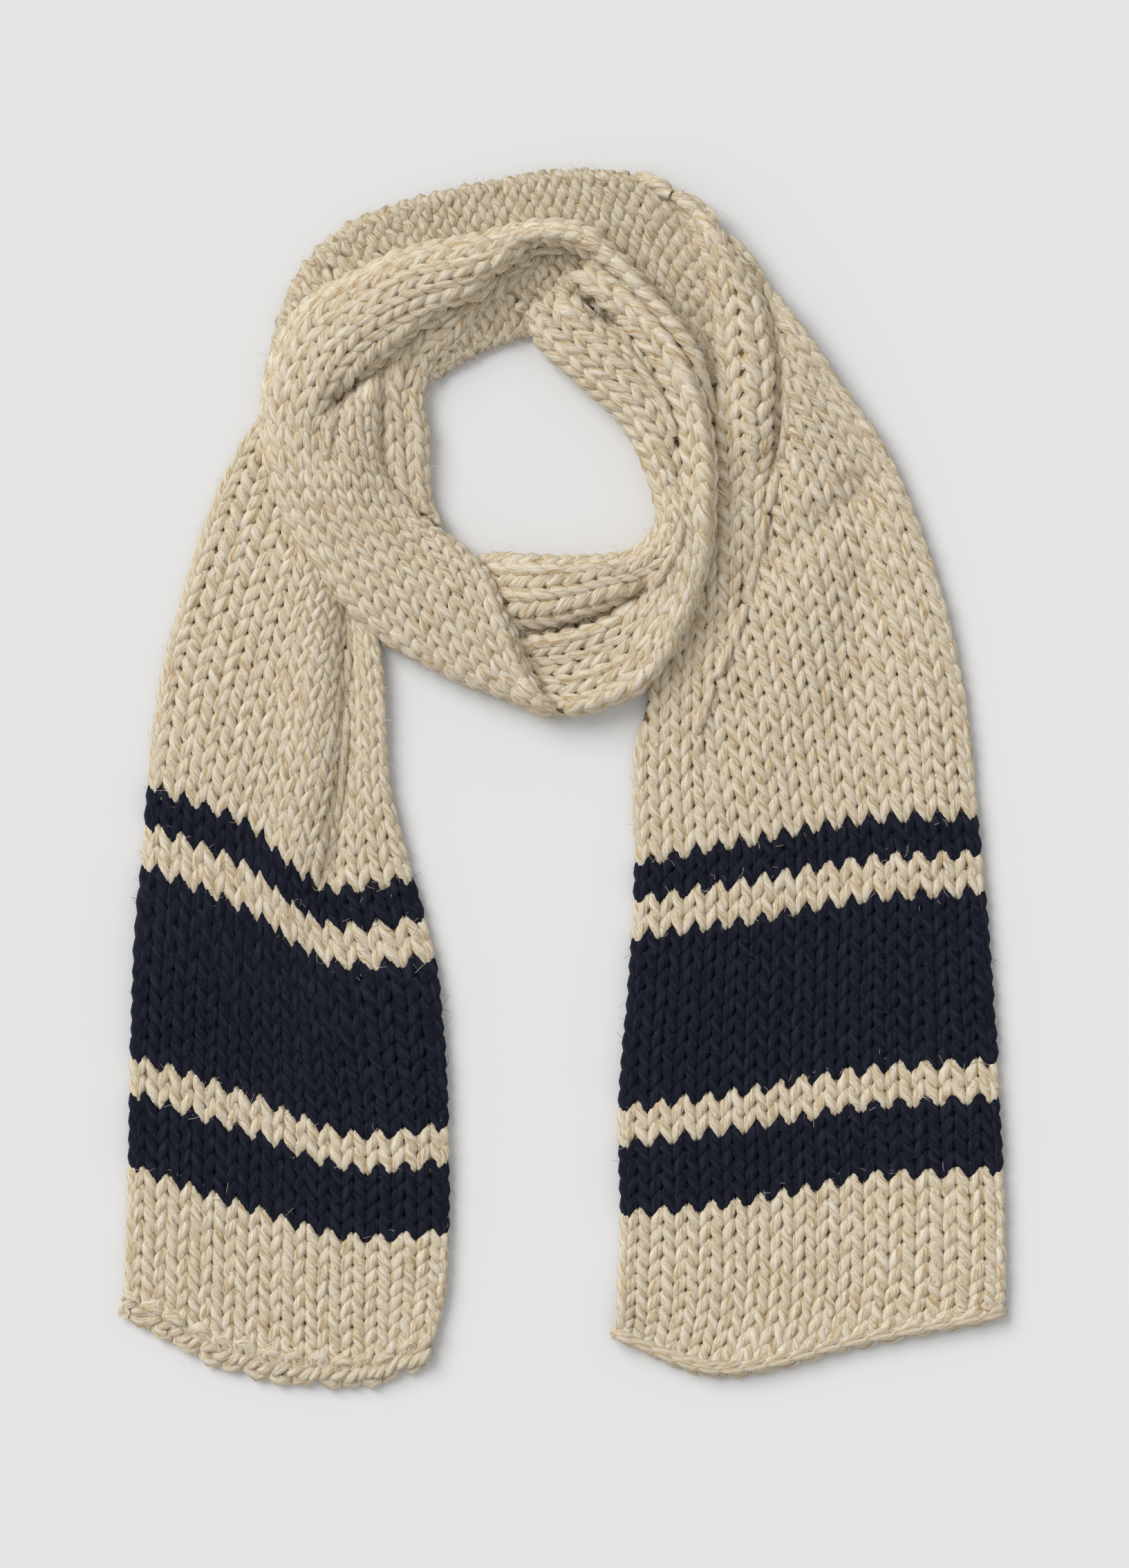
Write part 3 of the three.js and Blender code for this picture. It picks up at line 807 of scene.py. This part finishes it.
def fibre_tree(material):
    """Geometry Nodes: stands short bent fibres on the upper side of the yarn."""
    tree = bpy.data.node_groups.new("Stray_fibres", "GeometryNodeTree")
    tree.interface.new_socket("Yarn", in_out="INPUT", socket_type="NodeSocketGeometry")
    sockets = {}
    for label, kind in (
        ("Fibres per square metre", "NodeSocketFloat"),
        ("Fibre length", "NodeSocketFloat"),
        ("Fibre radius", "NodeSocketFloat"),
        ("Seed", "NodeSocketInt"),
    ):
        sockets[label] = tree.interface.new_socket(label, in_out="INPUT", socket_type=kind).identifier
    tree.interface.new_socket("Fibres", in_out="OUTPUT", socket_type="NodeSocketGeometry")
    start = add(tree, "NodeGroupInput")
    facing = add(tree, "GeometryNodeInputNormal")
    upward = add(tree, "ShaderNodeSeparateXYZ", {0: facing.outputs[0]})
    upper = add(tree, "ShaderNodeMath", {0: upward.outputs[2], 1: 0.25}, operation="GREATER_THAN")
    spots = add(
        tree,
        "GeometryNodeDistributePointsOnFaces",
        {
            "Mesh": start.outputs["Yarn"],
            "Selection": upper.outputs[0],
            "Density": start.outputs["Fibres per square metre"],
            "Seed": start.outputs["Seed"],
        },
        distribute_method="RANDOM",
    )
    line = add(
        tree,
        "GeometryNodeCurveQuadraticBezier",
        {"Resolution": 3, "Start": (0, 0, 0), "Middle": (0.10, 0, 0.55), "End": (0.75, 0.15, 0.62)},
    )
    ring = add(
        tree,
        "GeometryNodeCurvePrimitiveCircle",
        {"Resolution": 3, "Radius": start.outputs["Fibre radius"]},
        mode="RADIUS",
    )
    long = add(tree, "ShaderNodeCombineXYZ", {axis: start.outputs["Fibre length"] for axis in range(3)})
    sized = add(tree, "GeometryNodeTransform", {"Geometry": line.outputs[0], "Scale": long.outputs[0]})
    fibre = add(
        tree,
        "GeometryNodeCurveToMesh",
        {"Curve": sized.outputs[0], "Profile Curve": ring.outputs[0]},
    )
    lean = add(
        tree,
        "FunctionNodeRandomValue",
        {0: (-0.9, -0.9, -math.pi), 1: (0.9, 0.9, math.pi), "Seed": start.outputs["Seed"]},
        data_type="FLOAT_VECTOR",
    )
    tilt = add(tree, "FunctionNodeEulerToRotation", {0: lean.outputs[0]})
    turned = add(
        tree,
        "FunctionNodeRotateRotation",
        {0: spots.outputs["Rotation"], 1: tilt.outputs[0]},
        rotation_space="LOCAL",
    )
    grow = add(
        tree,
        "FunctionNodeRandomValue",
        {2: 0.5, 3: 1.5, "Seed": start.outputs["Seed"]},
        data_type="FLOAT",
    )
    planted = add(
        tree,
        "GeometryNodeInstanceOnPoints",
        {
            "Points": spots.outputs["Points"],
            "Instance": fibre.outputs[0],
            "Rotation": turned.outputs[0],
            "Scale": grow.outputs[1],
        },
    )
    real = add(tree, "GeometryNodeRealizeInstances", {"Geometry": planted.outputs[0]})
    dyed = add(tree, "GeometryNodeSetMaterial", {"Geometry": real.outputs["Geometry"], "Material": material})
    add(tree, "NodeGroupOutput", {"Fibres": dyed.outputs["Geometry"]})
    return tree, sockets


def plain_copy(obj, name):
    """The evaluated object as a plain mesh object of its own."""
    graph = bpy.context.evaluated_depsgraph_get()
    mesh = bpy.data.meshes.new_from_object(
        obj.evaluated_get(graph), preserve_all_data_layers=True, depsgraph=graph
    )
    mesh.name = name
    made = bpy.data.objects.new(name, mesh)
    bpy.context.scene.collection.objects.link(made)
    return made


# Fibres on a square metre of yarn, their length and radius, and the seed of their places.
FIBRE_DENSITY = 16000.0
FIBRE_LENGTH = 6e-3
FIBRE_RADIUS = 0.075e-3
FIBRE_SEED = 3


def stray_fibres(yarn, material):
    """The halo of brushed wool: fine fibres that stand off the yarn."""
    tree, sockets = fibre_tree(material)
    modifier = yarn.modifiers.new("halo", "NODES")
    modifier.node_group = tree
    modifier[sockets["Fibres per square metre"]] = FIBRE_DENSITY
    modifier[sockets["Fibre length"]] = FIBRE_LENGTH
    modifier[sockets["Fibre radius"]] = FIBRE_RADIUS
    modifier[sockets["Seed"]] = FIBRE_SEED
    halo = plain_copy(yarn, yarn.name.replace("_stitches", "_halo"))
    yarn.modifiers.remove(modifier)
    return halo


def lay_down(body, node, stitches):
    """Ties a stretch's cloth and its stitches to the scarf's one body."""
    for piece in [body, *stitches]:
        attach(piece, "root")
    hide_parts(node)


def lay_tail(stretch, loops, hem, hem_name, rows, across):
    """A tail: its cloth, its cream and navy stitches, the yarn along its hem and the halo."""
    name = stretch["name"]
    body = cloth_body(stretch, [CREAM_DEPTH_PAINTED_SHADE, NAVY_DEPTH_PAINTED_SHADE], across, dyed=NAVY_ROWS)
    cream = knit(name + "_cream_stitches", loops, CREAM_YARN, set(range(rows)) - NAVY_ROWS)
    navy = knit(name + "_navy_stitches", loops, NAVY_YARN, NAVY_ROWS)
    edge = knit(name + hem_name, hem, CREAM_YARN)
    halos = [stray_fibres(cream, CREAM_HALO_PAINTED_HIGHLIGHT), stray_fibres(navy, NAVY_HALO_PAINTED_HIGHLIGHT)]
    lay_down(body, name, [cream, navy, edge, *halos])


CREAM_YARN = wool_yarn("Wool_yarn_cream_marl", "#b99c6e", "#dccdb1", "#ebe1d0")
NAVY_YARN = wool_yarn("Wool_yarn_navy", "#10121b", "#181a27", "#272a39")
# the fibres' colours are lighter than their yarns' as a painted highlight
CREAM_HALO_PAINTED_HIGHLIGHT = wool_halo("Wool_fibre_cream", "#e4dac6")
NAVY_HALO_PAINTED_HIGHLIGHT = wool_halo("Wool_fibre_navy", "#393d50")
# the cloth behind the stitches is coloured in painted shade, far darker than the yarn
CREAM_DEPTH_PAINTED_SHADE = knit_depth("Wool_knit_cream_purl_depth", "#6c5a40", "#93805f")
NAVY_DEPTH_PAINTED_SHADE = knit_depth("Wool_knit_navy_purl_depth", "#0a0e18", "#1b2238")
# the stripes by row: cream hem, navy, cream, wide navy, cream, navy, then cream to the ring
NAVY_ROWS = {9, 10, 11, 12, 15, 16, 17, 18, 19, 20, 21, 22, 23, 26, 27}

TAIL_LEFT["rows"] = knit_rows(TAIL_LEFT)
RING_LEFT["rows"] = knit_rows(RING_LEFT)
# lower stitches deeper beneath the ring than this are left out
COVER_MARGIN = 13e-3
beneath_ring_left = (plan_outline(RING_LEFT), COVER_MARGIN)

tail_left_loops = stitch_loops(TAIL_LEFT, range(50), purl_rows={0}, covers=[beneath_ring_left])
cast_on = edge_strands(TAIL_LEFT, 14, chained=False)
lay_tail(TAIL_LEFT, tail_left_loops, cast_on, "_cast_on_edge", rows=50, across=24)

# --- Ring, left side and top ---
# The strip folded lengthwise and heaped over itself, knit side out. It lies on top of all
# the rest, narrows to a rolled edge at the top right and ends under the ring's bottom.
def lay_heap(stretch, loops, wall, across, yarn=CREAM_YARN):
    """A folded stretch of the ring: its hollow cloth, its stitches and their halo."""
    name = stretch["name"]
    body = cloth_body(stretch, [CREAM_DEPTH_PAINTED_SHADE], across, wall=wall)
    stitches = knit(name + "_stitches", loops, yarn)
    halo = stray_fibres(stitches, CREAM_HALO_PAINTED_HIGHLIGHT)
    lay_down(body, name, [stitches, halo])


ring_left_loops = stitch_loops(RING_LEFT, range(math.floor(RING_LEFT["rows"][-1])))
lay_heap(
    RING_LEFT, ring_left_loops, wall=2e-3, across=14,
)

# --- Ring, right side and bottom ---
# The strip folded over on itself, knit side out: a chain-like outer ridge, a valley, and
# an inner tube beside the neck opening. At the bottom the two part round a deep hollow.
RING_RIGHT = {
    "name": "ring_right",
    "heap": True,
    "vee": -1,
    "side": 1,
    "stops": [0, 1],
    # row, outer x and y, hole x and y, heights outer, middle and hole
    "sections": [
        [0, 862, 362, 752, 450, 20, 20, 16],
        [3, 918, 418, 775, 500, 24, 25, 18],
        [7, 975, 480, 836, 558, 26, 27, 20],
        [11, 1018, 572, 892, 608, 27, 28, 21],
        [15, 1036, 660, 929, 675, 27, 29, 21],
        [18, 1034, 740, 947, 738, 27, 28, 21],
        [21, 1024, 820, 938, 772, 26, 27, 20],
        [25, 996, 905, 903, 797, 25, 26, 20],
        [29, 940, 990, 850, 801, 25, 26, 20],
        [32, 880, 1024, 806, 803, 24, 25, 20],
        [35, 822, 1038, 755, 800, 22, 24, 19],
        [38, 765, 1020, 703, 797, 14, 16, 13],
        [40, 730, 985, 680, 810, 10, 11, 10],
    ],
    # row, the wales at the outer edge, at either side of the valley, at the opening's edge,
    # and how far across the valley lies
    "wales": [
        [0, 0, 2.4, 6.2, 9.2, 0.47],
        [3, 0, 2.8, 5.9, 9.2, 0.47],
        [7, 0, 2.6, 6.0, 9.2, 0.46],
        [11, 0, 2.4, 6.5, 9.2, 0.47],
        [15, 0, 2.1, 7.0, 9.2, 0.49],
        [18, 0, 1.9, 7.4, 9.2, 0.53],
        [21, 0, 2.6, 7.0, 9.2, 0.54],
        [25, 0, 3.9, 6.3, 9.2, 0.55],
        [29, 0, 5.0, 6.0, 9.2, 0.60],
        [32, 0, 5.0, 6.0, 9.2, 0.58],
        [35, 0, 5.0, 6.0, 9.2, 0.55],
        [38, 0, 5.0, 6.0, 9.2, 0.48],
        [40, 0, 5.0, 6.0, 9.2, 0.45],
    ],
    "folds": [
        (-18, 5, [(785, 398), (850, 438), (880, 466)]),
        (-6, 8, [(890, 470), (940, 540), (975, 620), (987, 700)]),
        (2, 7, [(930, 430), (990, 530), (1018, 640), (1014, 740)]),
        (-13, 4, [(750, 914), (800, 909), (850, 895), (900, 873), (930, 850)]),
        (-8, 22, [(785, 955), (850, 940), (895, 905), (925, 870)]),
        (3, 12, [(760, 860), (830, 850), (890, 830), (930, 800)]),
    ],
}
RING_RIGHT["rows"] = knit_rows(RING_RIGHT)
beneath_ring_right = (plan_outline(RING_RIGHT), COVER_MARGIN)
ring_right_loops = stitch_loops(
    RING_RIGHT, range(math.floor(RING_RIGHT["rows"][-1])), covers=[beneath_ring_left]
)
lay_heap(
    RING_RIGHT, ring_right_loops, wall=2e-3, across=14,
)

# --- Ring, inner left layer ---
# A lower layer that shows between the ring's left side and the neck opening, two to
# three wales wide, knit side up and in the shade of the fold beside it.
RING_INNER = {
    "name": "ring_inner",
    "heap": True,
    "vee": -1,
    "side": -1,
    "stops": [0, 1],
    # its wales are counted up to the third at the hole's edge
    "anchor": 1,
    "last_wale": 3,
    "wale_width": 12.4e-3,
    # row, hidden x and y, hole x and y, heights hidden, middle and hole
    "sections": [
        [0, 765, 350, 786, 400, 14, 14, 13],
        [3, 715, 378, 742, 425, 14, 15, 13],
        [6, 655, 415, 700, 460, 14, 15, 13],
        [9, 605, 450, 664, 500, 14, 16, 13],
        [12, 560, 495, 633, 526, 14, 16, 13],
        [15, 543, 560, 616, 574, 14, 17, 14],
        [18, 543, 630, 623, 625, 14, 17, 14],
        [21, 555, 690, 624, 690, 14, 16, 13],
        [24, 600, 745, 633, 750, 12, 13, 11],
    ],
    "folds": [
        (-4, 6, [(600, 520), (588, 580), (586, 640), (598, 700)]),
    ],
}
RING_INNER["rows"] = knit_rows(RING_INNER)
ring_inner_loops = stitch_loops(
    RING_INNER, range(math.ceil(RING_INNER["rows"][-1])), covers=[beneath_ring_left]
)
lay_heap(
    RING_INNER, ring_inner_loops, wall=1.5e-3, across=8,
)

# --- Right tail ---
# The bound-off end of the strip, knit side up and 16 wales wide. Higher up it gathers
# into a ridge of a few wales, turns under along the right and ends over the back band.
TAIL_RIGHT = {
    "name": "tail_right",
    "heap": False,
    "vee": 1,
    "side": 1,
    "stops": [0, 5 / 16, 11 / 16, 1],
    # row, x and y of wales 0, 5, 11 and 16 on the chart, heights left, middle and right
    "sections": [
        [0, 889, 1930, 1040, 1982, 1250, 1938, 1452, 1901, 9, 8, 8],
        [3, 890, 1890, 1062, 1900, 1262, 1862, 1457, 1850, 9, 8.5, 9],
        [9, 896, 1757, 1066, 1740, 1265, 1702, 1453, 1694, 9, 8.5, 9],
        [15, 893, 1605, 1061, 1582, 1260, 1547, 1445, 1536, 9, 9, 9],
        [24, 912, 1357, 1072, 1333, 1262, 1299, 1428, 1290, 9, 9, 9],
        [28, 916, 1250, 1075, 1218, 1256, 1186, 1417, 1180, 9, 9, 9],
        [34, 916, 1082, 1064, 1046, 1240, 1015, 1400, 1014, 9, 9.5, 9],
        [40, 957, 915, 1084, 880, 1235, 842, 1358, 834, 9, 11, 10],
        [46, 1014, 735, 1116, 700, 1215, 664, 1289, 658, 10, 14, 12],
        [50, 1030, 620, 1122, 598, 1180, 564, 1222, 557, 12, 17, 14],
        [54, 1034, 500, 1096, 486, 1133, 464, 1158, 464, 15, 20, 16],
        [58, 1020, 390, 1045, 383, 1064, 375, 1082, 373, 17, 22, 16],
        [62, 975, 298, 985, 294, 996, 290, 1003, 290, 15, 20, 14],
        [64, 926, 262, 930, 260, 934, 258, 938, 257, 12, 13, 12],
    ],
    # as on the left tail
    "wales": [
        [0, 0, 5, 5, 16, 0.3125],
        [24, 0, 5, 5, 16, 0.3125],
        [28, 0, 4.5, 4.5, 16, 0.28],
        [34, 0, 3.2, 3.6, 16, 0.20],
        [40, 1.3, 5.2, 6.9, 16, 0.30],
        [46, 3.2, 6.4, 9.5, 16, 0.33],
        [50, 3.9, 6.8, 11.7, 16, 0.40],
        [54, 4.0, 7.0, 14.0, 16, 0.59],
        [58, 4.0, 6.6, 15.7, 16, 0.94],
        [62, 4.0, 5.4, 15.9, 16, 0.96],
        [64, 4.0, 4.6, 15.9, 16, 0.96],
    ],
    "folds": [
        (-8, 6, [(1100, 390), (1116, 450), (1128, 530), (1128, 610), (1122, 680)]),
        (-3, 9, [(1122, 680), (1112, 760), (1086, 840)]),
        (-3.5, 9, [(1246, 705), (1153, 784), (1063, 870), (994, 959)]),
        (4, 9, [(1035, 340), (1070, 430), (1083, 540), (1082, 640)]),
        (-3, 12, [(1246, 690), (1252, 800), (1238, 921), (1232, 1036)]),
        (2, 16, [(1170, 720), (1165, 880), (1130, 1020), (1080, 1130)]),
        (2, 16, [(1320, 880), (1325, 1050), (1340, 1240)]),
        (1.5, 20, [(960, 1330), (985, 1500), (990, 1700)]),
        (-1.5, 20, [(1180, 1250), (1160, 1450), (1150, 1650)]),
        (4, 8, [(890, 1890), (893, 1935), (915, 1960)]),
        (2, 9, [(915, 1960), (1060, 1975), (1250, 1935), (1440, 1905)]),
    ],
}
TAIL_RIGHT["rows"] = knit_rows(TAIL_RIGHT)
tail_right_loops = stitch_loops(
    TAIL_RIGHT, range(64), covers=[beneath_ring_right, beneath_ring_left]
)
bound_off = edge_strands(TAIL_RIGHT, 16, chained=True)
lay_tail(
    TAIL_RIGHT, tail_right_loops, bound_off, "_bound_off_edge", rows=64, across=26
)

# --- Back band ---
# The back of the ring lies purl side up beneath everything: rows of low bumps that run
# across the band, folded under along its outer edge.
BAND_BACK = {
    "name": "band_back",
    "heap": True,
    "vee": 1,
    "side": -1,
    "stops": [0, 1],
    # its wales are counted from the outer edge
    "anchor": 0,
    "wale_width": 10.2e-3,
    # row, outer x and y, inner x and y, heights outer, middle and inner
    "sections": [
        [-3, 1000, 302, 1108, 585, 12, 13, 10],
        [0, 930, 256, 1034, 560, 12, 13, 10],
        [4, 860, 244, 985, 500, 12, 13, 10],
        [8, 790, 246, 860, 470, 12, 13, 9],
        [12, 720, 257, 760, 487, 12, 13, 8],
        [16, 650, 272, 690, 513, 12, 13, 8],
        [20, 580, 292, 632, 548, 12, 13, 8],
        [24, 500, 325, 590, 560, 12, 13, 8],
        [28, 440, 382, 545, 565, 11, 12, 8],
        [32, 402, 462, 490, 580, 10, 11, 8],
        [35, 388, 530, 430, 600, 9, 9, 8],
    ],
    "folds": [
        (-2, 9, [(960, 350), (900, 290), (820, 268), (720, 280), (600, 312), (500, 360)]),
        (1.5, 10, [(1000, 430), (930, 360), (860, 320), (800, 306)]),
    ],
}
# it lies pushed together here, so its rows and wales are closer than elsewhere
BAND_BACK["pitch"] = 8.2e-3
BAND_BACK["rows"] = knit_rows(BAND_BACK)
# the purl side is the same yarn in painted shade: a darker copy of the cream marl for the shade the back
# band lies in
PURL_YARN_PAINTED_SHADE = wool_yarn("Wool_yarn_cream_marl_purl_side", "#ac9167", "#d0c2a7", "#e0d6c4")
beneath_tail_right = (plan_outline(TAIL_RIGHT), 12e-3)
band_back_rows = range(math.floor(BAND_BACK["rows"][-1]))
band_back_loops = stitch_loops(
    BAND_BACK,
    band_back_rows,
    purl_rows=band_back_rows,
    covers=[beneath_tail_right, beneath_ring_left, beneath_ring_right],
)
lay_heap(
    BAND_BACK, band_back_loops, wall=1.5e-3, across=14,
    yarn=PURL_YARN_PAINTED_SHADE,
)

# --- Floor, light and camera ---
floor = mesh_object("floor", [(-4, -4, 0), (4, -4, 0), (4, 4, 0), (-4, 4, 0)], [(0, 1, 2, 3)])
paper = bpy.data.materials.new("Paper_backdrop_pale_grey")
paper.use_nodes = True
paper_shader = paper.node_tree.nodes["Principled BSDF"]
paper_shader.inputs["Base Color"].default_value = linear("#e0e0e0")
paper_shader.inputs["Roughness"].default_value = 0.95
paper_shader.inputs["Specular IOR Level"].default_value = 0.0
floor.data.materials.append(paper)

world = bpy.data.worlds.new("Studio")
bpy.context.scene.world = world
world.use_nodes = True
world.node_tree.nodes["Background"].inputs["Color"].default_value = (1, 1, 1, 1)
world.node_tree.nodes["Background"].inputs["Strength"].default_value = 0.58

# one very large soft light from the upper left, as a scrim gives
sun_data = bpy.data.lights.new("scrim_light", "SUN")
sun_data.energy = 2.15
sun_data.angle = math.radians(38)
sun = bpy.data.objects.new("scrim_light", sun_data)
sun.rotation_mode = "QUATERNION"
sun.rotation_quaternion = Vector((1.0, -0.85, -1.25)).to_track_quat("-Z", "Y")
bpy.context.scene.collection.objects.link(sun)

camera_data = bpy.data.cameras.new("camera")
camera = bpy.data.objects.new("camera", camera_data)
bpy.context.scene.collection.objects.link(camera)
# it looks straight down, and frames the chart at the cloth's mean level
CAMERA_HEIGHT = 3.6
CLOTH_LEVEL = 0.010
SENSOR = 36
PHOTO_SIZE = (1633, 2268)
middle = on_chart(np.array([PHOTO_SIZE[0] / 2, PHOTO_SIZE[1] / 2]))
camera.location = (middle[0], middle[1], CAMERA_HEIGHT)
camera_data.sensor_width = SENSOR
camera_data.lens = SENSOR * (CAMERA_HEIGHT - CLOTH_LEVEL) / (PHOTO_SIZE[1] * CHART_UNIT)
camera_data.clip_end = 20
bpy.context.scene.camera = camera
bpy.context.scene.view_settings.view_transform = "Standard"
